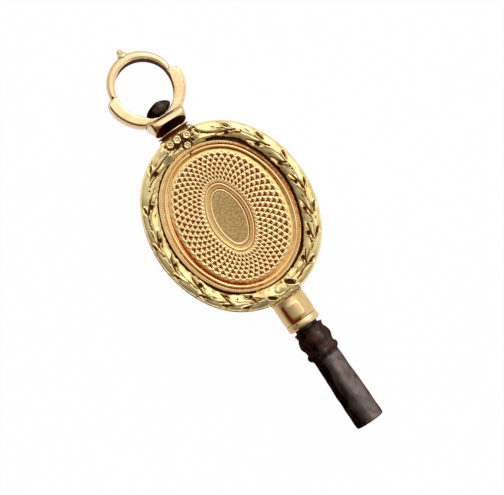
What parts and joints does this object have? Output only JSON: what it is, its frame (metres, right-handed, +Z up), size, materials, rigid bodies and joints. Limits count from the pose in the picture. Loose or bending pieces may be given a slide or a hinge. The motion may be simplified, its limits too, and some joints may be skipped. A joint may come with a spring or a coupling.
{
  "type": "pocket watch key",
  "caption": "Hand-turned winding key: oval two-shell frame with engine-turned plates, swivelling bow with a hanging ring, and a turned steel pipe with a square socket.",
  "frame": {"origin": "on the surface that the key lies on, under the centre of the box around it", "axes": "+Y from the pipe's end towards the bow, +Z up out of the front plate, +X to the right of the front plate"},
  "size_m": [0.0198, 0.0522, 0.0051],
  "materials": {
    "green_gold": "chased green gold, dark in the recesses",
    "rose_gold": "engine-turned rose gold with a satin cartouche",
    "yellow_gold": "polished yellow gold with light wear",
    "dark_steel": "dark patinated steel, worn and faintly rusty",
    "cement": "dull red-brown setting cement"
  },
  "bodies": {
    "key_body": {"rim_front": "green_gold", "rim_back": "green_gold", "bezel_front": "rose_gold", "bezel_back": "rose_gold", "plate_front": "rose_gold", "plate_back": "rose_gold", "body_filler": "cement", "body_neck": "yellow_gold", "ferrule": "yellow_gold", "key_pipe": "dark_steel"},
    "rivet": {"swivel_rivet": "dark_steel", "rivet_burr": "dark_steel"},
    "bow": {"bow_ring": "yellow_gold", "bow_collar": "yellow_gold"}
  },
  "joints": [
    {"name": "swivel_turn", "type": "hinge", "parent": "key_body", "child": "rivet", "pos_m": [0, 0.01644, 0.00255], "axis": [0, 1, 0], "continuous": true},
    {"name": "bow_rock", "type": "hinge", "parent": "rivet", "child": "bow", "pos_m": [0, 0.01644, 0.00255], "axis": [1, 0, 0], "range_deg": [0, 18]}
  ]
}
